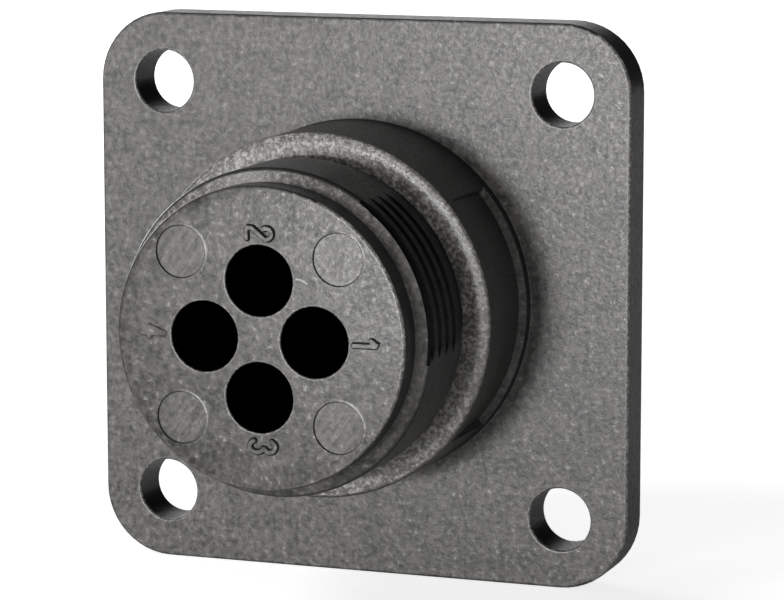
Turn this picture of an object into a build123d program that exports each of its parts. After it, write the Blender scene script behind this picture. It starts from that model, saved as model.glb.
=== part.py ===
from build123d import *
from math import cos, radians, sin, tan
import os

# Four-position circular connector housing, one moulding in matte dark plastic.
# It is modelled with its axis along Z, the wire side towards +Z and the mating
# side towards -Z, zero on the flange face that the wire side shows, and turned
# at the end so that the wire side faces -Y and +Z is up. Millimetres throughout.

# Mounting flange
flange_width = 27.4
flange_thickness = 2.35
flange_corner_radius = 3.4
flange_edge_radius = 0.15
bolt_edge_distance = 3.39
bolt_hole_radius = 1.525

# Pilot: the large plain cylinder on the wire side, with its shallow marking panel
pilot_radius = 8.75
pilot_length = 6.15
pilot_rim_fillet = 0.15
panel_half_angle = 41.3
panel_flange_land = 0.55
panel_rim_land = 0.95
panel_depth_far = 0.37
panel_depth_near = 0.1

# Clamp barrel behind the pilot, with a relief at its root and a lead-in cone
barrel_radius = 7.7
barrel_end = 11.15
relief_depth = 0.25
relief_length = 1.05
cone_length = 0.4

# Clamp thread, moulded on two opposite arcs only
thread_pitch = 0.97
thread_depth = 0.42
thread_groove_angle = 60
thread_turns = 4
thread_arc = 64
thread_middle_angle = 24.5
thread_first_groove = 11.05

# End disc, which carries the four contact cavities
disc_radius = 7.06
disc_face = 13.0
disc_edge_chamfer = 0.1
pin_mark_radius = 1.24
pin_mark_circle = 5.46
pin_mark_depth = 0.06

# Contact cavities: open bore, retention neck, front guide
cavity_circle = 2.7
cavity_count = 4
cavity_radius = 1.65
cavity_depth = 12.6
neck_radius = 1.15
neck_length = 1.7
guide_radius = 1.35

# Mating barrel: keyed socket inside, three-start coupling thread outside
mating_root_radius = 8.1
mating_length = 10.4
mating_collar_radius = 8.6
mating_collar_length = 1.1
socket_radius = 6.9
socket_depth = 9.3
mouth_chamfer = 0.3
keyway_depth = 0.45
keyway_floor_land = 0.6
main_keyway_width = 2.6
minor_keyway_width = 1.3
main_keyway_angle = 90
minor_keyway_angles = (165, 230, 310, 15)
coupling_starts = 3
coupling_lead = 9.0
coupling_arc = 210
coupling_height = 0.55
coupling_root_width = 1.5
coupling_crest_width = 0.8
coupling_lead_in = 0.9

# How far cutters run past a face, and how deep ridges are rooted in their barrel
overrun = 1
bite = 0.15

mating_face = -flange_thickness - mating_length
socket_floor = mating_face + socket_depth


def tube_profile(points):
    """Face in the XZ plane through (radius, height) points, turned about the axis."""
    outline = Polyline(*[(r, 0, z) for r, z in points], close=True)
    return revolve(make_face(outline), Axis.Z)


def helix_strip(section, radius, pitch, arc, start_angle, start_height):
    """Section of (outward, along) points swept along part of a helix."""
    path = Helix(pitch, pitch * arc / 360, radius)
    outline = Polyline(*[(radius + out, 0, along) for out, along in section], close=True)
    strip = sweep(make_face(outline), path=path, is_frenet=True)
    return Pos(0, 0, start_height) * Rot(0, 0, start_angle) * strip


# Flange plate with its four fixing holes
plate = Pos(0, 0, -flange_thickness) * extrude(
    RectangleRounded(flange_width, flange_width, flange_corner_radius), flange_thickness
)
plate = fillet(plate.edges().filter_by(Plane.XY), flange_edge_radius)

# Wire side, turned as one profile from the flange to the end disc
relief_radius = barrel_radius - relief_depth
wire_side = tube_profile([
    (0, -flange_thickness / 2),
    (pilot_radius, -flange_thickness / 2),
    (pilot_radius, pilot_length),
    (relief_radius, pilot_length),
    (relief_radius, pilot_length + relief_length),
    (barrel_radius, pilot_length + relief_length),
    (barrel_radius, barrel_end),
    (disc_radius, barrel_end + cone_length),
    (disc_radius, disc_face),
    (0, disc_face),
])

# Mating side, turned the same way, with a stop collar for the coupling ring
mating_side = tube_profile([
    (0, -flange_thickness / 2),
    (mating_collar_radius, -flange_thickness / 2),
    (mating_collar_radius, -flange_thickness - mating_collar_length),
    (mating_root_radius, -flange_thickness - mating_collar_length),
    (mating_root_radius, mating_face + mouth_chamfer),
    (mating_root_radius - mouth_chamfer, mating_face),
    (0, mating_face),
])

housing = plate + wire_side + mating_side

# Marking panel: a drafted pocket over part of the pilot's right-hand side
overcut = pilot_radius + overrun
panel_near = pilot_length - panel_rim_land
panel = make_face(Polyline(
    (pilot_radius - panel_depth_far, 0, panel_flange_land),
    (overcut, 0, panel_flange_land),
    (overcut, 0, panel_near),
    (pilot_radius - panel_depth_near, 0, panel_near),
    close=True,
))
housing -= Rot(0, 0, -panel_half_angle) * revolve(panel, Axis.Z, 2 * panel_half_angle)

# Clamp thread: V grooves cut along short lengths of one right-hand helix, so that
# the two sides are half a pitch apart and a nut's thread meets both
half_groove = (thread_depth + bite) * tan(radians(thread_groove_angle / 2))
groove = [(-thread_depth, 0), (bite, -half_groove), (bite, half_groove)]
for side in (0, 180):
    start = thread_middle_angle - thread_arc / 2 + side
    for turn in range(thread_turns):
        middle = thread_first_groove - (turn + side / 360) * thread_pitch
        height = middle - thread_pitch * thread_arc / 720
        housing -= helix_strip(groove, barrel_radius, thread_pitch, thread_arc, start, height)

# Coupling thread: three trapezoidal ridges, one for each start
crest = coupling_crest_width / 2
root = coupling_root_width / 2
ridge = [
    (-bite, -root),
    (0, -root),
    (coupling_height, -crest),
    (coupling_height, crest),
    (0, root),
    (-bite, root),
]
for start in range(coupling_starts):
    housing += helix_strip(
        ridge,
        mating_root_radius,
        coupling_lead,
        coupling_arc,
        start * 360 / coupling_starts,
        mating_face + coupling_lead_in + root,
    )

# Socket with its mouth chamfer and the keyways that keep a wrong plug out
socket = tube_profile([
    (0, socket_floor),
    (socket_radius, socket_floor),
    (socket_radius, mating_face + mouth_chamfer),
    (socket_radius + 2 * mouth_chamfer, mating_face - mouth_chamfer),
    (0, mating_face - mouth_chamfer),
])
keyway_length = socket_depth - keyway_floor_land + overrun
keyway_middle = mating_face - overrun + keyway_length / 2
keyways = [(main_keyway_angle, main_keyway_width)]
for angle in minor_keyway_angles:
    keyways.append((angle, minor_keyway_width))
for angle, width in keyways:
    slot = Pos(socket_radius / 2 + keyway_depth, 0, keyway_middle) * Box(socket_radius, width, keyway_length)
    reach = Pos(0, 0, keyway_middle) * Cylinder(socket_radius + keyway_depth, keyway_length)
    socket += Rot(0, 0, angle) * (slot & reach)
housing -= socket

# Contact cavities, each a stepped bore from the end disc to the socket floor
for number in range(cavity_count):
    angle = radians(number * 360 / cavity_count)
    centre = Pos(cavity_circle * cos(angle), cavity_circle * sin(angle), 0)
    shoulder = disc_face - cavity_depth
    guide_top = shoulder - neck_length
    housing -= centre * tube_profile([
        (0, disc_face + overrun),
        (cavity_radius, disc_face + overrun),
        (cavity_radius, shoulder),
        (neck_radius, shoulder),
        (neck_radius, guide_top),
        (guide_radius, guide_top),
        (guide_radius, socket_floor - overrun),
        (0, socket_floor - overrun),
    ])

# Shallow round marks that the ejector pins leave on the end disc, between the cavities
for number in range(cavity_count):
    angle = radians((number + 0.5) * 360 / cavity_count)
    mark = Cylinder(pin_mark_radius, 2 * pin_mark_depth)
    housing -= Pos(pin_mark_circle * cos(angle), pin_mark_circle * sin(angle), disc_face) * mark

# Fixing holes
bolt_reach = flange_width / 2 - bolt_edge_distance
for x in (-1, 1):
    for y in (-1, 1):
        hole = Cylinder(bolt_hole_radius, 3 * flange_thickness)
        housing -= Pos(x * bolt_reach, y * bolt_reach, -flange_thickness / 2) * hole


def rings(shape, radius, height):
    """Circular edges of one radius at one height round the axis."""
    found = []
    for edge in shape.edges().filter_by(GeomType.CIRCLE):
        centre = edge.arc_center
        on_axis = abs(centre.X) < 1e-6 and abs(centre.Y) < 1e-6
        if on_axis and abs(edge.radius - radius) < 1e-6 and abs(centre.Z - height) < 1e-6:
            found.append(edge)
    return found


housing = chamfer(rings(housing, disc_radius, disc_face), disc_edge_chamfer)
housing = fillet(rings(housing, pilot_radius, pilot_length), pilot_rim_fillet)

os.makedirs("parts", exist_ok=True)
housing = Rot(90, 0, 0) * housing
export_step(housing, "parts/housing.step")
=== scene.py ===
import bmesh
import bpy
import math
from mathutils import Euler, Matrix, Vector
from mathutils.geometry import delaunay_2d_cdt


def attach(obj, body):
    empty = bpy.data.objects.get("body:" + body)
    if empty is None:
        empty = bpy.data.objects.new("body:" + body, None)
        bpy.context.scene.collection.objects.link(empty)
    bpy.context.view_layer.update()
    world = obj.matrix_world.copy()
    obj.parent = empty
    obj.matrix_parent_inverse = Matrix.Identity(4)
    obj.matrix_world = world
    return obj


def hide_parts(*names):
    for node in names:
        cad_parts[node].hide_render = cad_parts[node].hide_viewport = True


# A four-position circular connector housing, one moulding in matte black thermoplastic.
# The part's sizes are in millimetres and in its own frame: axis along z, the wire side
# towards +z, zero on the flange's wire-side face. to_row() turns them into the CAD frame.

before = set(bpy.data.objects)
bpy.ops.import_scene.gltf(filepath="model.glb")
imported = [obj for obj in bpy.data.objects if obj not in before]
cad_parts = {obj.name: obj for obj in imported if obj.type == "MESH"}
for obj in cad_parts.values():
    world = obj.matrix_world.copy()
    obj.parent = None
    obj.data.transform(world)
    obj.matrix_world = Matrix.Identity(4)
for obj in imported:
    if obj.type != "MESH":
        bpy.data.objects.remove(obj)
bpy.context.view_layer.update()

# Flange, with its fixing holes, and the steps of its right-hand corners that carry painted highlight
flange_half = 13.7
flange_thickness = 2.35
flange_corner = 3.4
flange_round = 0.15
bolt_half = 10.31
bolt_radius = 1.525
hole_round = 0.14
corner_highlight = 8

# Pilot, its shoulder and its marking panel
pilot_radius = 8.75
pilot_length = 6.15
pilot_round = 0.15
root_round = 0.1
shoulder_fall = 0.07
shoulder_middle = 0.3
shoulder_reach = 0.55
panel_half_angle = 41.3
panel_low = 0.55
panel_high = 5.2
panel_depth_low = 0.37
panel_depth_high = 0.1
panel_wall = 0.04

# Clamp barrel, with its relief, thread and cone. The relief's painted shade reaches this far up the
# barrel, and a face lies in a groove, with full painted shade, where the groove cuts at least this deep.
barrel_radius = 7.7
barrel_end = 11.15
corner_reach = 0.1
relief_radius = 7.45
relief_end = 7.2
thread_pitch = 0.97
thread_depth = 0.42
thread_groove_angle = 60
thread_half_width = thread_depth * math.tan(math.radians(thread_groove_angle / 2))
thread_turns = 4
thread_arc = 64
thread_middle = 24.5
thread_first = 11.05
thread_runout = 5
groove_steps = 34
relief_shade = 0.05
groove_cut = 0.01

# End disc: slightly crowned, and its face's normals lean outwards by these angles
disc_radius = 7.06
disc_base = 11.55
disc_face = 13.0
disc_round = 0.14
disc_rim = disc_radius - disc_round
disc_crown = 0.04
disc_lean = 4.2
rim_turn = 6.5
rim_lean = 14
cone_slope = (barrel_radius - disc_radius) / (disc_base - barrel_end)

# Where painted highlight and painted shade face, in degrees round the axis, anticlockwise from the right
rim_highlight_way = 45
rim_shade_way = 150
cone_highlight_way = 130
barrel_shade_way = 100

# On the disc: ejector-pin marks, raised digits and a scratch. No point of a digit's line
# lies further than its reach from the line's first point.
mark_radius = 1.24
mark_circle = 5.46
mark_depth = 0.05
mark_tilt = 0.035
mark_wall = 0.05
mark_lip = 0.14
mark_lip_height = 0.02
digit_half = 0.085
digit_draft = 0.08
digit_reach = 2
scratch_half = 0.02
scratch_draft = 0.03
scratch_height = 0.03

# Contact cavities
cavity_circle = 2.7
cavity_radius = 1.65
cavity_round = 0.08
cavity_shoulder = 0.4
neck_radius = 1.15
neck_end = -1.3
guide_radius = 1.35

# Mating side: collar, barrel, keyed socket and coupling thread; keyways as (angle, width)
collar_radius = 8.6
collar_end = -3.45
collar_chamfer = 0.08
mating_radius = 8.1
mating_face = -12.75
socket_radius = 6.9
socket_floor = -3.45
mouth_chamfer = 0.3
keyway_reach = 7.35
keyway_end = -4.05
keyways = [(15, 1.3), (90, 2.6), (165, 1.3), (230, 1.3), (310, 1.3)]
coupling_starts = (0, 120, 240)
coupling_lead = 9.0
coupling_arc = 210
coupling_height = 0.55
coupling_root = 0.75
coupling_crest = 0.4
coupling_lead_in = 0.9
coupling_first = mating_face + coupling_lead_in + coupling_root
coupling_end = 3
coupling_steps = 104

# Steps round the axis, round a cavity or pin mark, round a fixing hole, round a corner of
# the flange, along the panel, round the end of a stroke, across a keyway and from one
# keyway to the next
STEPS = 180
CAVITY_STEPS = 64
HOLE_STEPS = 48
CORNER_STEPS = 12
PANEL_STEPS = 40
END_STEPS = 6
KEYWAY_STEPS = 8
WALL_STEPS = 30

# The angle at which the round walls are cut to lay them flat, the sharpest edge that still
# shades smoothly, both in degrees, how straight along the axis a level face looks, how near
# in mm points of one sheet count as one, and how near in metres all points are welded
SEAM = -90
CRISP = 28
LEVEL = 0.999
JOIN = 1e-5
WELD = 1e-6

# How far a face takes a finish, painted shade or painted highlight, kept on the mesh for the material
FINISHES = ("disc", "shoulder", "pin_mark", "cavity_painted_shade", "edge_wear_and_highlight", "thread", "scratch")


def clamp(value):
    """The value, held between 0 and 1."""
    return max(0.0, min(1.0, value))


def alike(angle, way):
    """1 where an angle points the same way, 0 where it points across and -1 where it points back."""
    return math.cos(math.radians(angle - way))


def circle(radius, z, centre=(0, 0), steps=STEPS):
    turn = [math.radians(i * 360 / steps) for i in range(steps)]
    return [(centre[0] + radius * math.cos(a), centre[1] + radius * math.sin(a), z) for a in turn]


def rounded_square(inset, z):
    """The flange's outline, drawn in from its edge by inset."""
    middle = flange_half - flange_corner
    radius = flange_corner - inset
    found = []
    for corner, (sx, sy) in enumerate([(1, 1), (-1, 1), (-1, -1), (1, -1)]):
        for i in range(CORNER_STEPS + 1):
            a = math.radians(90 * (corner + i / CORNER_STEPS))
            x = sx * middle + radius * math.cos(a)
            y = sy * middle + radius * math.sin(a)
            found.append((x, y, z))
    return found


def quarter(radius, steps=4):
    """(in, down) pairs of a quarter round, from the flat face to the wall."""
    turn = [math.radians(90 * i / steps) for i in range(steps + 1)]
    return [(radius * (1 - math.sin(a)), radius * (1 - math.cos(a))) for a in turn]


def flat(ring):
    """A ring without its height."""
    return [(p[0], p[1]) for p in ring]


def turned(profile, steps=STEPS, centre=(0, 0)):
    """One ring for each (radius, z) of a profile."""
    return [circle(radius, z, centre, steps) for radius, z in profile]


def within(point, loop):
    """Whether a point lies inside a closed outline."""
    x, y = point
    inside = False
    for (x0, y0), (x1, y1) in zip(loop, loop[1:] + loop[:1]):
        if (y0 > y) != (y1 > y) and x < x0 + (y - y0) * (x1 - x0) / (y1 - y0):
            inside = not inside
    return inside


def away(point, chain):
    """Distance from a point to the nearest place on an open chain."""
    best = math.inf
    p = Vector(point)
    for a, b in zip(chain, chain[1:]):
        a, b = Vector(a), Vector(b)
        along = clamp((p - a).dot(b - a) / (b - a).length_squared)
        best = min(best, (a + (b - a) * along - p).length)
    return best


class Skin:
    """One closed surface, put together from bands between rings and from sheets."""

    def __init__(self):
        self.bm = bmesh.new()
        self.layers = {name: self.bm.faces.layers.float.new(name) for name in FINISHES}

    def face(self, verts, finish=None):
        made = self.bm.faces.new(verts)
        if finish:
            name, share = finish
            made[self.layers[name]] = share

    def bands(self, rings, finish=None):
        """Quads between each ring and the next. All rings are closed and equally long.
        The finish is the same all round, or a function of the step round the ring."""
        rows = [[self.bm.verts.new(p) for p in ring] for ring in rings]
        for low, high in zip(rows, rows[1:]):
            for i in range(len(low)):
                j = (i + 1) % len(low)
                made = finish(i) if callable(finish) else finish
                self.face((low[i], low[j], high[j], high[i]), made)

    def sheet(self, loops, place, keep, chains=(), finish=None):
        """Triangles between outlines drawn flat, kept where keep() says and put in
        space by place(). The chains are open lines that edges have to follow."""
        points, edges = [], []
        lines = [(loop, True) for loop in loops] + [(chain, False) for chain in chains]
        for line, closed in lines:
            first = len(points)
            points += [Vector(p) for p in line]
            edges += [(first + i, first + i + 1) for i in range(len(line) - 1)]
            if closed:
                edges.append((len(points) - 1, first))
        made, _, faces, _, _, _ = delaunay_2d_cdt(points, edges, [], 0, JOIN)
        verts = [None] * len(made)
        for corners in faces:
            middle = sum((made[c] for c in corners), Vector((0, 0))) / 3
            if not keep(middle):
                continue
            for c in corners:
                if verts[c] is None:
                    verts[c] = self.bm.verts.new(place(made[c]))
            self.face([verts[c] for c in corners], finish(middle) if finish else None)


def unrolled(low, high, radius):
    """The outline of a cylinder laid flat, cut at the seam: lengths in mm along both ways."""
    turn = [SEAM + i * 360 / STEPS for i in range(STEPS + 1)]
    along = math.radians(radius)
    return [(a * along, low) for a in turn] + [(a * along, high) for a in reversed(turn)]


def rolled(radius, at):
    """Puts a laid-flat point back on the cylinder, at the radius that at(angle, z) gives."""

    def place(point):
        angle = point[0] / math.radians(radius)
        r = at(angle, point[1])
        a = math.radians(angle)
        return (r * math.cos(a), r * math.sin(a), point[1])

    return place


skin = Skin()


# Flange: its edge all round with small rounds, the four fixing holes, and its two faces
def edge_finish(i):
    """The flange's front edge carries a painted highlight on its right-hand side, which is the
    last step of the outline, and round a part of the corners above and below it."""
    last = 4 * (CORNER_STEPS + 1) - 1
    rubbed = i < corner_highlight or i >= last - corner_highlight
    return ("edge_wear_and_highlight", 0.8) if rubbed else None


def hole_finish(i):
    """The fixing holes' walls get painted shade, darkest at the bottom."""
    return "thread", 0.8 * clamp(0.2 - math.sin(math.radians(i * 360 / HOLE_STEPS)))


front = [rounded_square(inset, -down) for inset, down in quarter(flange_round)]
back = [rounded_square(inset, down - flange_thickness) for inset, down in reversed(quarter(flange_round))]
skin.bands(front, edge_finish)
skin.bands(front[-1:] + back)
hole_places = [(x * bolt_half, y * bolt_half) for x in (-1, 1) for y in (-1, 1)]
hole_lip = quarter(hole_round, 3)
hole_front = [(bolt_radius + inset, -down) for inset, down in hole_lip]
hole_back = [(bolt_radius + inset, down - flange_thickness) for inset, down in reversed(hole_lip)]
for place in hole_places:
    skin.bands(turned(hole_front, HOLE_STEPS, place), ("edge_wear_and_highlight", 0.6))
    skin.bands(turned(hole_front[-1:] + hole_back, HOLE_STEPS, place), hole_finish)


def flange_face(z, radius):
    """A flat side of the flange, round the barrel that stands on it."""
    outer = flat(rounded_square(flange_round, z))
    inner = [flat(circle(radius, z))]
    inner += [flat(circle(bolt_radius + hole_round, z, place, HOLE_STEPS)) for place in hole_places]
    skin.sheet(
        [outer] + inner,
        lambda p: (p[0], p[1], z),
        lambda p: within(p, outer) and not any(within(p, loop) for loop in inner),
    )


flange_face(0.0, pilot_radius + root_round)
flange_face(-flange_thickness, collar_radius)


# Pilot: a small round at its root, the marking panel, a rounded rim, then the shoulder
def pilot_at(angle, z):
    """Radius of the pilot, which the drafted panel cuts into."""
    side = math.radians(panel_half_angle - abs(angle)) * pilot_radius
    inside = min(side, z - panel_low, panel_high - z)
    share = (z - panel_low) / (panel_high - panel_low)
    depth = panel_depth_low + (panel_depth_high - panel_depth_low) * share
    return pilot_radius - depth * clamp(inside / panel_wall)


def panel_loop(inset):
    """The panel's outline laid flat, drawn in by inset."""
    half = math.radians(panel_half_angle) * pilot_radius - inset
    low, high = panel_low + inset, panel_high - inset
    across = [half * (2 * i / PANEL_STEPS - 1) for i in range(PANEL_STEPS + 1)]
    return [(u, low) for u in across] + [(u, high) for u in reversed(across)]


def rim_finish(i):
    """The rims are pale, with a painted highlight strongest towards the upper right."""
    return "edge_wear_and_highlight", clamp(0.5 + alike(i * 360 / STEPS, rim_highlight_way))


skin.bands(turned([(pilot_radius + inset, down) for inset, down in quarter(root_round, 3)]))
rim_start = pilot_length - shoulder_fall
skin.sheet(
    [unrolled(root_round, rim_start - pilot_round, pilot_radius), panel_loop(0), panel_loop(panel_wall)],
    rolled(pilot_radius, pilot_at),
    lambda p: True,
)
rim = [(pilot_radius - inset, rim_start - down) for inset, down in reversed(quarter(pilot_round, 5))]
skin.bands(turned(rim), rim_finish)
shoulder = [
    (pilot_radius - pilot_round, rim_start),
    (pilot_radius - shoulder_middle, pilot_length - shoulder_fall / 2),
    (pilot_radius - shoulder_reach, pilot_length),
    (relief_radius, pilot_length),
]
skin.bands(turned(shoulder), ("shoulder", 1.0))


# Clamp barrel: V grooves of a right-hand thread on two opposite arcs, with short run-outs
def groove_centre(side, turn, angle):
    """Height of a groove's bottom: the two sides are half a pitch apart."""
    level = thread_first - (turn + side / 360) * thread_pitch
    return level + thread_pitch * (angle - thread_middle - side) / 360


def groove_share(side, angle):
    """How much of its full depth a groove has: it runs out at both ends of its arc."""
    return clamp((thread_arc / 2 - abs(angle - thread_middle - side)) / thread_runout)


def barrel_at(angle, z):
    """Radius of the barrel with its grooves and its cone, whose corner is eased."""
    depth = 0.0
    for side in (0, 180):
        share = groove_share(side, angle)
        for turn in range(thread_turns):
            across = abs(z - groove_centre(side, turn, angle)) / thread_half_width
            depth = max(depth, thread_depth * (share - across))
    beyond = z - barrel_end
    if abs(beyond) < corner_reach:
        cone = barrel_radius - cone_slope * (beyond + corner_reach) ** 2 / (4 * corner_reach)
    else:
        cone = barrel_radius - cone_slope * max(0.0, beyond)
    return min(barrel_radius - depth, cone)


def groove_top(middle, half):
    """Where a groove's upper flank meets the barrel, or the cone if it runs past the barrel."""
    flank = thread_depth / thread_half_width
    if middle + half <= barrel_end:
        return middle + half
    return (flank * (middle + half) + cone_slope * barrel_end) / (flank + cone_slope)


def relief_finish(i):
    """The relief gets painted shade below the threaded arcs."""
    share = max(groove_share(side, i * 360 / STEPS) for side in (0, 180))
    return "thread", 0.9 * share


relief = [(relief_radius, pilot_length), (relief_radius, relief_end), (barrel_radius, relief_end)]
skin.bands(turned(relief), relief_finish)
loops, chains = [unrolled(relief_end, disc_base, barrel_radius)], []
# Lines round the barrel's corner, so that its faces follow the easing
for share in (-1, -0.33, 0.33, 1):
    level = barrel_end + share * corner_reach
    chains.append(unrolled(level, level, barrel_radius)[:STEPS + 1])
for side in (0, 180):
    for turn in range(thread_turns):
        first = thread_middle + side - thread_arc / 2
        angles = [first + thread_arc * i / groove_steps for i in range(groove_steps + 1)]
        middle = [(math.radians(a) * barrel_radius, groove_centre(side, turn, a)) for a in angles]
        half = [groove_share(side, a) * thread_half_width for a in angles]
        upper = [(u, groove_top(z, h)) for (u, z), h in zip(middle, half)]
        lower = [(u, z - h) for (u, z), h in zip(middle, half)]
        loops.append(upper + lower[-2:0:-1])
        chains.append(middle)


def barrel_finish(point):
    """The cone is pale, with a painted highlight towards the upper left; the threaded arcs get
    near-black painted shade, and the plain barrel has painted shade towards the top.
    """
    angle = math.degrees(point[0] / barrel_radius)
    if point[1] > barrel_end + corner_reach:
        return "edge_wear_and_highlight", clamp(0.35 + 0.65 * alike(angle, cone_highlight_way))
    reach = max(groove_share(side, angle) for side in (0, 180))
    if reach == 0 or point[1] < relief_end + relief_shade:
        return "thread", 0.45 * clamp(alike(angle, barrel_shade_way))
    cut = barrel_radius - barrel_at(angle, point[1])
    return "thread", 1.0 if cut > groove_cut else 0.85 * reach


skin.sheet(loops, rolled(barrel_radius, barrel_at), lambda p: p[1] < disc_base, chains, barrel_finish)


# End disc: its wall and rim, then its face
def disc_level(r):
    """Height of the end disc, which is very slightly crowned."""
    return disc_face - disc_crown * (r / disc_radius) ** 2


def disc_rim_finish(i):
    """The disc's rim is dull with painted shade towards the upper left, elsewhere the rims' painted
    highlight.
    """
    dark = clamp(0.2 + alike(i * 360 / STEPS, rim_shade_way))
    return ("thread", 0.45 * dark) if dark > 0.3 else rim_finish(i)


rim_start = disc_level(disc_rim)
skin.bands(turned([(disc_radius, disc_base), (disc_radius, rim_start - disc_round)]))
rim = [(disc_radius - inset, rim_start - down) for inset, down in reversed(quarter(disc_round))]
skin.bands(turned(rim), disc_rim_finish)


# The face: cavity mouths, shallow round marks of the ejector pins, raised digits and a scratch
cavity_places = [(cavity_circle * x, cavity_circle * y) for x, y in ((1, 0), (0, 1), (-1, 0), (0, -1))]
diagonal = mark_circle * math.sqrt(0.5)
mark_places = [(x * diagonal, y * diagonal) for x in (-1, 1) for y in (-1, 1)]


def arc(centre, radius, start, end, steps):
    """Points on an ellipse arc; radius is (along x, along y)."""
    turn = [math.radians(start + (end - start) * i / steps) for i in range(steps + 1)]
    return [(centre[0] + radius[0] * math.cos(a), centre[1] + radius[1] * math.sin(a)) for a in turn]


# Each digit is drawn upright round its own middle, then turned so that its top is towards +x
one = [(-0.21, 0.33), (-0.02, 0.62), (0.02, 0.58), (0.03, -0.54)]
two = arc((0.0, 0.35), (0.26, 0.27), 215, -20, 9)
two += [(-0.26, -0.36), (-0.27, -0.58), (-0.2, -0.64), (0.25, -0.62)]
three = arc((0.0, 0.34), (0.26, 0.28), 160, -70, 9) + arc((0.0, -0.3), (0.28, 0.34), 75, -155, 10)
four_slope = [(0.0, 0.5), (-0.3, -0.25), (0.2, -0.25)]
four_upright = [(0.02, 0.5), (0.02, -0.7)]
digits = [
    ([one], (5.17, 0.03), 0.13),
    ([two], (0.065, 4.88), 0.15),
    ([three], (0.19, -4.94), 0.13),
    ([four_slope, four_upright], (-5.2, 0.03), 0.05),
]
# Each stroke is its middle line, half its width, the width of its slopes and its height
strokes = []
for shape, (x, y), height in digits:
    for chain in shape:
        strokes.append(([(x + v, y - u) for u, v in chain], digit_half, digit_draft, height))
scratch = [(1.86, 2.88), (2.05, 2.86), (2.22, 2.79), (2.36, 2.69)]
strokes.append((scratch, scratch_half, scratch_draft, scratch_height))


def outline(chain, reach):
    """The closed outline at one distance all round an open chain, with round ends."""
    found = []
    for line in (chain, chain[::-1]):
        for i, point in enumerate(line):
            before = Vector(line[max(i - 1, 0)])
            after = Vector(line[min(i + 1, len(line) - 1)])
            way = (after - before).normalized()
            found.append((point[0] - way.y * reach, point[1] + way.x * reach))
        end = math.atan2(way.x, -way.y)
        for k in range(1, END_STEPS):
            a = end - math.pi * k / END_STEPS
            found.append((line[-1][0] + reach * math.cos(a), line[-1][1] + reach * math.sin(a)))
    return found


def mark_lean(across, up):
    """How far a point lies towards the upper right of a pin mark, from -1 to 1."""
    return (0.9 * across + 0.4 * up) / mark_radius


def disc_at(point):
    """Where a point of the disc's face lies: on the crown, up a stroke or down a pin mark."""
    level = disc_level(math.hypot(point[0], point[1]))
    z = level
    for chain, half, draft, height in strokes:
        if max(abs(point[0] - chain[0][0]), abs(point[1] - chain[0][1])) < digit_reach:
            share = (half + draft - away(point, chain)) / draft
            z = max(z, level + height * clamp(share))
    for x, y in mark_places:
        across, up = point[0] - x, point[1] - y
        inside = mark_radius - math.hypot(across, up)
        lean = mark_lean(across, up)
        lip = mark_lip_height * clamp(0.3 + lean)
        z += lip * clamp(1 + inside / mark_lip)
        z -= (mark_depth - mark_tilt * lean + lip) * clamp(inside / mark_wall)
    return (point[0], point[1], z)


def disc_finish(point):
    """The disc's own grain, with brushed pin marks, a painted highlight on the upper right of
    their lips, and the scratch.
    """
    for x, y in mark_places:
        across, up = point[0] - x, point[1] - y
        inside = mark_radius - math.hypot(across, up)
        if inside > mark_wall:
            return "pin_mark", 1.0
        # A pin mark's lip towards the upper right: painted highlight
        if inside > -mark_lip / 2 and across > 0:
            return "edge_wear_and_highlight", 0.6 * clamp(mark_lean(across, up))
    if away(point, scratch) < scratch_half + scratch_draft:
        return "scratch", 1.0
    return "disc", 1.0


rim_loop = flat(circle(disc_rim, 0))
mouths = [flat(circle(cavity_radius + cavity_round, 0, place, CAVITY_STEPS)) for place in cavity_places]
loops = [rim_loop, flat(circle(rim_turn, 0))] + mouths
for place in mark_places:
    for inset in (-mark_lip, -mark_lip / 2, 0, mark_wall):
        loops.append(flat(circle(mark_radius - inset, 0, place, CAVITY_STEPS)))
for chain, half, draft, _ in strokes:
    loops += [outline(chain, reach) for reach in (half, half + draft)]
skin.sheet(
    loops,
    disc_at,
    lambda p: within(p, rim_loop) and not any(within(p, loop) for loop in mouths),
    [stroke[0] for stroke in strokes],
    disc_finish,
)

# Contact cavities: a stepped bore from the end disc to the socket floor, near black with painted shade
lip_profile = [(cavity_radius + inset, -down) for inset, down in quarter(cavity_round, 3)]
bore_profile = [
    (cavity_radius, cavity_shoulder),
    (neck_radius, cavity_shoulder),
    (neck_radius, neck_end),
    (guide_radius, neck_end),
    (guide_radius, socket_floor),
]
for place in cavity_places:
    lip = turned(lip_profile, CAVITY_STEPS, place)
    lip = [[(x, y, disc_level(math.hypot(x, y)) + z) for x, y, z in ring] for ring in lip]
    skin.bands(lip, ("edge_wear_and_highlight", 0.7))
    skin.bands(lip[-1:] + turned(bore_profile, CAVITY_STEPS, place), ("cavity_painted_shade", 1.0))

# Mating side: stop collar, then the barrel with its three coupling ridges
collar = [
    (collar_radius, -flange_thickness),
    (collar_radius, collar_end + collar_chamfer),
    (collar_radius - collar_chamfer, collar_end),
    (mating_radius, collar_end),
]
skin.bands(turned(collar))
# Each ridge is laid out twice, a full turn apart, because the seam cuts through it
ridge_starts = [start + back for start in coupling_starts for back in (0, -360)]


def ridge_centre(start, angle):
    """Height of a ridge's middle, which climbs with the coupling lead."""
    return coupling_first + coupling_lead * (angle - start) / 360


def mating_at(angle, z):
    """Radius of the mating barrel with its ridges, which slope at their sides and ends."""
    height = 0.0
    for start in ridge_starts:
        end = clamp(min(angle - start, start + coupling_arc - angle) / coupling_end)
        side = coupling_root - abs(z - ridge_centre(start, angle))
        side = clamp(side / (coupling_root - coupling_crest))
        height = max(height, coupling_height * min(end, side))
    return mating_radius + height


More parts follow.
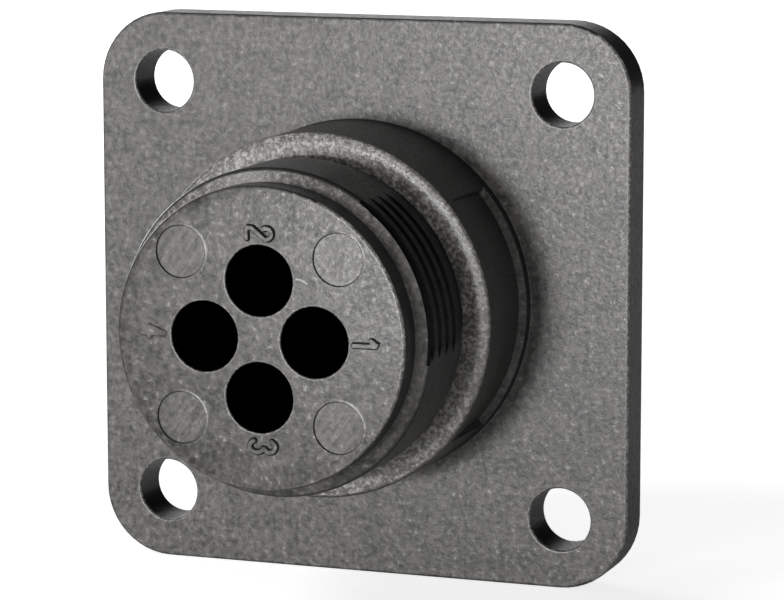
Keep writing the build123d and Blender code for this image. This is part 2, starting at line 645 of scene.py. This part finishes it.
loops = [unrolled(mating_face + mouth_chamfer, collar_end, mating_radius)]
for start in ridge_starts:
    for half, cut in ((coupling_root, 0), (coupling_crest, coupling_end)):
        first, last = start + cut, start + coupling_arc - cut
        angles = [first + (last - first) * i / coupling_steps for i in range(coupling_steps + 1)]
        upper = [(math.radians(a) * mating_radius, ridge_centre(start, a) + half) for a in angles]
        lower = [(math.radians(a) * mating_radius, ridge_centre(start, a) - half) for a in angles]
        loops.append(upper + lower[::-1])
left = math.radians(SEAM) * mating_radius
right = math.radians(SEAM + 360) * mating_radius
skin.sheet(loops, rolled(mating_radius, mating_at), lambda p: left < p[0] < right)


# Socket: its mouth is chamfered, and its keyways stop short of its floor
def swept(radius, start, end, steps, z):
    """Points along an arc round the axis."""
    turn = [math.radians(start + (end - start) * k / steps) for k in range(steps + 1)]
    return [(radius * math.cos(a), radius * math.sin(a), z) for a in turn]


def half_angle(width, radius):
    """Half the angle that a keyway's width takes up at a radius."""
    return math.degrees(math.asin(width / 2 / radius))


def socket_ring(radius, z):
    """Points all round the socket and out into its keyways, the same number at every height."""
    found = []
    following = keyways[1:] + [(keyways[0][0] + 360, keyways[0][1])]
    for (angle, width), (after, after_width) in zip(keyways, following):
        far = half_angle(width, keyway_reach)
        found += swept(keyway_reach, angle - far, angle + far, KEYWAY_STEPS, z)
        start, end = angle + half_angle(width, radius), after - half_angle(after_width, radius)
        found += swept(radius, start, end, WALL_STEPS, z)
    return found


mouth = socket_ring(socket_radius + mouth_chamfer, mating_face)
keyed = socket_ring(socket_radius, keyway_end)
skin.bands([mouth, socket_ring(socket_radius, mating_face + mouth_chamfer), keyed])
outer_mouth = circle(mating_radius - mouth_chamfer, mating_face)
skin.bands([circle(mating_radius, mating_face + mouth_chamfer), outer_mouth])
skin.sheet(
    [flat(outer_mouth), flat(mouth)],
    lambda p: (p[0], p[1], mating_face),
    lambda p: within(p, flat(outer_mouth)) and not within(p, flat(mouth)),
)
# The floors of the keyways, between the wall below them and their own far walls
plain = []
for x, y, z in keyed:
    share = socket_radius / math.hypot(x, y)
    plain.append((x * share, y * share, z))
across = KEYWAY_STEPS + 1
for i in range(0, len(keyed), across + WALL_STEPS + 1):
    near_edge = [keyed[i - 1]] + plain[i:i + across] + [keyed[i + across]]
    far_edge = [keyed[i]] + keyed[i:i + across] + [keyed[i + across - 1]]
    for k in range(across + 1):
        corners = [near_edge[k], near_edge[k + 1], far_edge[k + 1], far_edge[k]]
        distinct = [p for n, p in enumerate(corners) if math.dist(p, corners[n - 1]) > JOIN]
        skin.face([skin.bm.verts.new(p) for p in distinct])
skin.bands([plain, [(x, y, socket_floor) for x, y, _ in plain]])
floor_loop = flat(plain)
guides = [flat(circle(guide_radius, 0, place, CAVITY_STEPS)) for place in cavity_places]
skin.sheet(
    [floor_loop] + guides,
    lambda p: (p[0], p[1], socket_floor),
    lambda p: within(p, floor_loop) and not any(within(p, loop) for loop in guides),
)


def to_row(p):
    """A point of the part's own frame, in the CAD frame and in metres."""
    return Vector((p[0], -p[2], p[1])) / 1000


def smooth_groups(vert):
    """The faces round a vertex, split where an edge between them is crisp."""
    left = set(vert.link_faces)
    while left:
        group, queue = [], [left.pop()]
        while queue:
            face = queue.pop()
            group.append(face)
            for e in face.edges:
                if vert in e.verts and e.smooth:
                    for other in e.link_faces:
                        if other in left:
                            left.remove(other)
                            queue.append(other)
        yield group


def level_normal(place, near):
    """The exact normal of a level face: along the axis, or leaning outwards on the disc. On
    the disc's left it leans more towards the rim, where the real one falls off in tone."""
    x, height, up = place.x * 1000, -place.y * 1000, place.z * 1000
    if height < disc_base:
        return Vector((0, math.copysign(1, near.y), 0))
    reach = max(math.hypot(x, up), 0.001)
    lean = disc_lean * reach / disc_radius
    at_rim = clamp((reach - rim_turn) / (disc_rim - rim_turn))
    lean += rim_lean * at_rim * clamp(0.3 - x / reach)
    out = math.tan(math.radians(lean)) / reach
    return Vector((out * x, -1, out * up))


def finish_mesh(bm, name):
    """Welds the surface, turns it outwards, keeps crisp edges crisp and flat faces truly flat."""
    for vert in bm.verts:
        vert.co = to_row(vert.co)
    bmesh.ops.remove_doubles(bm, verts=bm.verts, dist=WELD)
    bmesh.ops.recalc_face_normals(bm, faces=bm.faces)
    bm.normal_update()
    for face in bm.faces:
        face.smooth = True
    for e in bm.edges:
        e.smooth = e.calc_face_angle() < math.radians(CRISP)
    bm.faces.index_update()
    bm.verts.index_update()
    normals = {}
    for vert in bm.verts:
        for group in smooth_groups(vert):
            level = [f for f in group if abs(f.normal.y) > LEVEL]
            total = Vector((0, 0, 0))
            for f in level or group:
                total += f.normal * f.calc_area()
            if level:
                total = level_normal(vert.co, total)
            for f in group:
                normals[f.index, vert.index] = total.normalized()
    mesh = bpy.data.meshes.new(name)
    order = [normals[f.index, loop.vert.index] for f in bm.faces for loop in f.loops]
    bm.to_mesh(mesh)
    bm.free()
    mesh.normals_split_custom_set(order)
    return mesh


def add_object(name, mesh):
    obj = bpy.data.objects.new(name, mesh)
    bpy.context.scene.collection.objects.link(obj)
    return obj


housing = add_object("housing_moulding", finish_mesh(skin.bm, "housing_moulding"))


# Materials
def linear(code):
    """An sRGB hex colour as linear RGBA."""
    parts = [int(code[i:i + 2], 16) / 255 for i in (1, 3, 5)]
    return (*[c / 12.92 if c <= 0.04045 else ((c + 0.055) / 1.055) ** 2.4 for c in parts], 1)


def node(tree, kind, inputs=(), **settings):
    """Adds a node with its settings. An input, found by name or number, takes a value, a hex
    colour, or a link from an output or from another node's first output in use."""
    made = tree.nodes.new(kind)
    for key, value in settings.items():
        setattr(made, key, value)
    for key, value in dict(inputs).items():
        if isinstance(key, str):
            socket = next(i for i in made.inputs if i.enabled and i.name == key)
        else:
            socket = made.inputs[key]
        if isinstance(value, bpy.types.Node):
            value = next(o for o in value.outputs if o.enabled)
        if isinstance(value, bpy.types.NodeSocket):
            tree.links.new(value, socket)
        else:
            socket.default_value = linear(value) if isinstance(value, str) else value
    return made


def new_material(name):
    material = bpy.data.materials.new(name)
    material.use_nodes = True
    material.node_tree.nodes.clear()
    return material, material.node_tree


# Every change from one finish or shade to the next is a soft one, held at both ends
SOFT = {"interpolation_type": "SMOOTHSTEP"}

# Black glass-filled thermoplastic, injection moulded. The tool's spark-eroded faces leave a
# fine grain that scatters the light to a mottled grey with pale flecks, painted stronger towards
# the right as glints; the walls, drawn along polished steel, come out smoother, darker and
# with a sheen. The grain's blotches are 0.3 mm across, in clouds of 1.2 mm, with a speckle of
# 0.2 mm on the shoulder and on the pale edges, which are partly wear and partly painted
# highlight. The real grit is finer still: it is drawn as coarse as it needs to show.
plastic, tree = new_material("moulded_black_thermoplastic")
coordinates = node(tree, "ShaderNodeTexCoord").outputs
where = coordinates["Object"]
on = {name: node(tree, "ShaderNodeAttribute", attribute_name=name).outputs["Fac"] for name in FINISHES}
# The pin marks are brushed: their pattern is drawn out along a slope of 55 degrees
slope = {"Vector": where, "Rotation": (0, math.radians(-55), 0), "Scale": (1, 1, 0.15)}
slope = node(tree, "ShaderNodeMapping", slope, vector_type="TEXTURE")
pattern = {}
for name, place, size_mm, detail, roughness, twist in (
    ("grain", where, 0.3, 3.0, 0.7, 0.2),
    ("clouds", where, 1.2, 3.0, 0.7, 0.2),
    ("speckle", where, 0.2, 2.0, 0.7, 0.0),
    ("brushing", slope, 1.2, 3.0, 0.8, 0.0),
):
    drawn = {"Vector": place, "Scale": 1000 / size_mm, "Detail": detail}
    drawn.update({"Roughness": roughness, "Distortion": twist})
    pattern[name] = node(tree, "ShaderNodeTexNoise", drawn)

# Where each pattern or place starts to count, and where it counts in full
facing = node(tree, "ShaderNodeSeparateXYZ", {"Vector": coordinates["Normal"]}).outputs["Y"]
facing = node(tree, "ShaderNodeMath", {0: facing}, operation="ABSOLUTE")
across = node(tree, "ShaderNodeSeparateXYZ", {"Vector": where}).outputs["X"]
mottle = node(tree, "ShaderNodeMath", {0: pattern["clouds"], 1: 0.35}, operation="MULTIPLY")
mottle = node(tree, "ShaderNodeMath", {0: pattern["grain"], 1: 0.65, 2: mottle}, operation="MULTIPLY_ADD")
share = {}
for name, value, low, high, least, most in (
    ("wall", facing, 0.95, 0.65, 0.0, 1.0),
    ("mottle", mottle, 0.3, 0.7, 0.0, 1.0),
    ("fleck_and_glint", pattern["grain"], 0.6, 0.74, 0.0, 1.0),
    ("speckle", pattern["speckle"], 0.42, 0.72, 0.0, 1.0),
    ("brushing", pattern["brushing"], 0.36, 0.64, 0.0, 1.0),
    # Towards the right the flecks are painted stronger, where they glint: painted glints
    ("glint_towards_right", across, -0.012, 0.012, 0.3, 0.85),
    ("rough", pattern["speckle"], 0.3, 0.7, 0.34, 0.48),
):
    span = {"Value": value, "From Min": low, "From Max": high, "To Min": least, "To Max": most}
    share[name] = node(tree, "ShaderNodeMapRange", span, **SOFT)

# Each finish's own tone, between a darker and a paler colour
tone = {}
for name, between, dark, pale in (
    ("face", share["mottle"], "#2b2a29", "#74726f"),
    ("disc", share["mottle"], "#0f0e0d", "#676561"),
    ("shoulder", share["speckle"], "#656361", "#b9b6b2"),
    ("pin_mark", share["brushing"], "#2c2b2a", "#74726f"),
    ("edge_wear_and_highlight", share["speckle"], "#6a6866", "#b9b6b2"),
):
    tone[name] = node(tree, "ShaderNodeMix", {"Factor": between, "A": dark, "B": pale}, data_type="RGBA")

# Each finish covers those before it, as far as its share and the most that it may cover
# Where the near-black painted shade goes: the cavity bores, the grooves and the shaded sides
painted_shade_cover = node(tree, "ShaderNodeMath", {0: on["cavity_painted_shade"], 1: on["thread"]}, operation="MAXIMUM")
colour = tone["face"]
for covers, most, coat in (
    (on["disc"], 1.0, tone["disc"]),
    # Pale flecks of the grain, painted stronger towards the right: partly grain, partly painted glint
    (share["fleck_and_glint"], share["glint_towards_right"], "#b5b3b0"),
    (on["shoulder"], 1.0, tone["shoulder"]),
    (on["pin_mark"], 0.45, tone["pin_mark"]),
    (share["wall"], 1.0, "#242423"),
    # Pale edges: partly wear, partly painted highlight on the sides towards the light
    (on["edge_wear_and_highlight"], 0.8, tone["edge_wear_and_highlight"]),
    (on["scratch"], 1.0, "#b5b4b2"),
    # Near black: painted shade
    (painted_shade_cover, 1.0, "#080808"),
):
    covers = node(tree, "ShaderNodeMath", {0: covers, 1: most}, operation="MULTIPLY")
    colour = node(tree, "ShaderNodeMix", {"Factor": covers, "A": colour, "B": coat}, data_type="RGBA")

# Walls, the shoulder and the pale edges of wear and painted highlight are smoother; the
# cavities and the places of painted shade have less sheen
rough = share["rough"]
for smoother, less in ((share["wall"], 0.06), (on["shoulder"], 0.1), (on["edge_wear_and_highlight"], 0.1)):
    rough = node(tree, "ShaderNodeMath", {0: smoother, 1: -less, 2: rough}, operation="MULTIPLY_ADD")
sheen = 0.5
for duller, less in ((on["cavity_painted_shade"], 0.5), (on["thread"], 0.4)):
    sheen = node(tree, "ShaderNodeMath", {0: duller, 1: -less, 2: sheen}, operation="MULTIPLY_ADD")
bumps = {"Height": pattern["grain"], "Strength": 1.0, "Distance": 0.00002}
bumps = node(tree, "ShaderNodeBump", bumps)
bumps = {"Height": pattern["speckle"], "Strength": on["shoulder"], "Distance": 0.000012, "Normal": bumps}
bumps = node(tree, "ShaderNodeBump", bumps)
surface = {"Base Color": colour, "Roughness": rough, "Specular IOR Level": sheen, "Normal": bumps}
surface = node(tree, "ShaderNodeBsdfPrincipled", surface)
node(tree, "ShaderNodeOutputMaterial", {"Surface": surface})
housing.data.materials.clear()
housing.data.materials.append(plastic)

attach(housing, "root")
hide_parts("housing")

# Matt white paper: pale and even, with a little tooth so that the shadow lies softly. It
# glows to the camera, less so near the object, where its shadow has to show, and to glossy
# and transmission rays as the lit paper does in front of the object and behind it.
paper, tree = new_material("matt_white_paper")
where = node(tree, "ShaderNodeTexCoord").outputs["Object"]
tooth = node(tree, "ShaderNodeTexNoise", {"Vector": where, "Scale": 900, "Detail": 3})
tooth = node(tree, "ShaderNodeBump", {"Height": tooth, "Strength": 0.1, "Distance": 0.00005})
matt = {"Base Color": "#f6f6f5", "Roughness": 0.9, "Normal": tooth}
matt = node(tree, "ShaderNodeBsdfPrincipled", matt)
depth = node(tree, "ShaderNodeSeparateXYZ", {"Vector": where}).outputs["Y"]
distance = node(tree, "ShaderNodeVectorMath", {0: where}, operation="LENGTH")
lit = {}
for name, value, low, high, least, most in (
    ("behind", depth, 0.02, 0.16, 0.0, 0.15),
    ("in_front", depth, -0.01, -0.07, 0.03, 0.9),
    ("to_camera", distance, 0.03, 0.15, 0.82, 1.0),
):
    span = {"Value": value, "From Min": low, "From Max": high, "To Min": least, "To Max": most}
    lit[name] = node(tree, "ShaderNodeMapRange", span, **SOFT)
ray = node(tree, "ShaderNodeLightPath").outputs
mirrored = {0: ray["Is Glossy Ray"], 1: ray["Is Transmission Ray"]}
mirrored = node(tree, "ShaderNodeMath", mirrored, operation="MAXIMUM")
around = node(tree, "ShaderNodeMath", {0: lit["behind"], 1: lit["in_front"]}, operation="MAXIMUM")
mirrored = node(tree, "ShaderNodeMath", {0: mirrored, 1: around}, operation="MULTIPLY")
seen = node(tree, "ShaderNodeMath", {0: ray["Is Camera Ray"], 1: lit["to_camera"]}, operation="MULTIPLY")
strength = node(tree, "ShaderNodeMath", {0: seen, 1: mirrored}, operation="MAXIMUM")
glow = node(tree, "ShaderNodeEmission", {"Strength": strength, "Color": "#f7f7f7"})
surface = node(tree, "ShaderNodeAddShader", {0: matt, 1: glow})
node(tree, "ShaderNodeOutputMaterial", {"Surface": surface})
# The paper lies level with the flange's lower edge, in nine fields, places in metres
places = (-0.6, -0.18, 0.18, 0.6)
bm = bmesh.new()
rows = [[bm.verts.new((x, y, -flange_half / 1000)) for x in places] for y in places]
for near, far in zip(rows, rows[1:]):
    for i in range(len(near) - 1):
        bm.faces.new((near[i], near[i + 1], far[i + 1], far[i]))
sheet = bpy.data.meshes.new("paper_floor")
bm.to_mesh(sheet)
bm.free()
sheet.materials.append(paper)
floor = add_object("paper_floor", sheet)

# World: white to the camera. Glossy and transmission rays meet the white backdrop behind
# the object on the left, and next to nothing elsewhere. To all other rays it is nearly dark.
world = bpy.data.worlds.new("studio")
bpy.context.scene.world = world
world.use_nodes = True
tree = world.node_tree
tree.nodes.clear()
way = node(tree, "ShaderNodeTexCoord").outputs["Generated"]
way = node(tree, "ShaderNodeSeparateXYZ", {"Vector": way}).outputs
behind = {"Value": way["Y"], "From Min": 0.2, "From Max": 0.85}
behind = node(tree, "ShaderNodeMapRange", behind, **SOFT)
leftwards = {"Value": way["X"], "From Min": 0.0, "From Max": -0.33, "To Min": 0.03}
leftwards = node(tree, "ShaderNodeMapRange", leftwards, **SOFT)
backdrop = node(tree, "ShaderNodeMath", {0: behind, 1: leftwards}, operation="MULTIPLY")
ray = node(tree, "ShaderNodeLightPath").outputs
mirrored = {0: ray["Is Glossy Ray"], 1: ray["Is Transmission Ray"]}
mirrored = node(tree, "ShaderNodeMath", mirrored, operation="MAXIMUM")
mirrored = node(tree, "ShaderNodeMath", {0: mirrored, 1: backdrop}, operation="MULTIPLY")
strength = node(tree, "ShaderNodeMath", {0: ray["Is Camera Ray"], 1: mirrored}, operation="MAXIMUM")
strength = node(tree, "ShaderNodeMath", {0: strength, 1: 0.02}, operation="MAXIMUM")
room = node(tree, "ShaderNodeBackground", {"Strength": strength, "Color": "#ffffff"})
node(tree, "ShaderNodeOutputWorld", {"Surface": room})


def towards(azimuth, elevation):
    """The way from the object to something seen at these angles, from the front and upwards."""
    a, e = math.radians(azimuth), math.radians(elevation)
    return Vector((math.sin(a) * math.cos(e), -math.cos(a) * math.cos(e), math.sin(e)))


def lamp(name, azimuth, elevation, distance, width, height, power):
    """A softbox aimed at the object, with its angles as for the camera; metres and watts."""
    data = bpy.data.lights.new(name, "AREA")
    data.shape = "RECTANGLE"
    data.size = width
    data.size_y = height
    data.energy = power
    obj = bpy.data.objects.new(name, data)
    way = towards(azimuth, elevation)
    obj.location = way * distance
    obj.rotation_mode = "QUATERNION"
    obj.rotation_quaternion = (-way).to_track_quat("-Z", "Y")
    bpy.context.scene.collection.objects.link(obj)


# A small low key, two low fills and a soft top light on the left give the photograph's
# light. The right fill and the back softbox let the sides be seen that it doesn't show.
lamp("key_softbox", -8, 0.6, 0.25, 0.05, 0.028, 0.36)
lamp("left_fill", -40, 3, 0.4, 0.12, 0.06, 0.15)
lamp("front_fill", 20, 2, 0.4, 0.16, 0.06, 0.13)
lamp("top_softbox", -48, 46, 0.5, 0.16, 0.16, 0.5)
lamp("right_fill", 95, 20, 0.5, 0.3, 0.3, 0.12)
lamp("back_softbox", 236, 14, 0.5, 0.3, 0.2, 1.2)

# Camera: solved from the photograph's edges, near to the object and almost level with it.
# Angles are in degrees, and the origin is where the camera sees it, in metres.
camera_azimuth, camera_elevation, camera_roll = 20.217, 9.001, 0.029
origin_seen = Vector((-0.001572, 0.000106, -0.174996))
data = bpy.data.cameras.new("camera")
data.sensor_width = 36
data.lens = 164.34
data.clip_start = 0.01
data.clip_end = 10
camera = bpy.data.objects.new("camera", data)
bpy.context.scene.collection.objects.link(camera)
turn = (-towards(camera_azimuth, camera_elevation)).to_track_quat("-Z", "Y").to_matrix()
turn = turn @ Euler((0, 0, -math.radians(camera_roll))).to_matrix()
camera.rotation_mode = "QUATERNION"
camera.rotation_quaternion = turn.to_quaternion()
camera.location = -(turn @ origin_seen)
bpy.context.scene.camera = camera
bpy.context.scene.view_settings.view_transform = "Standard"
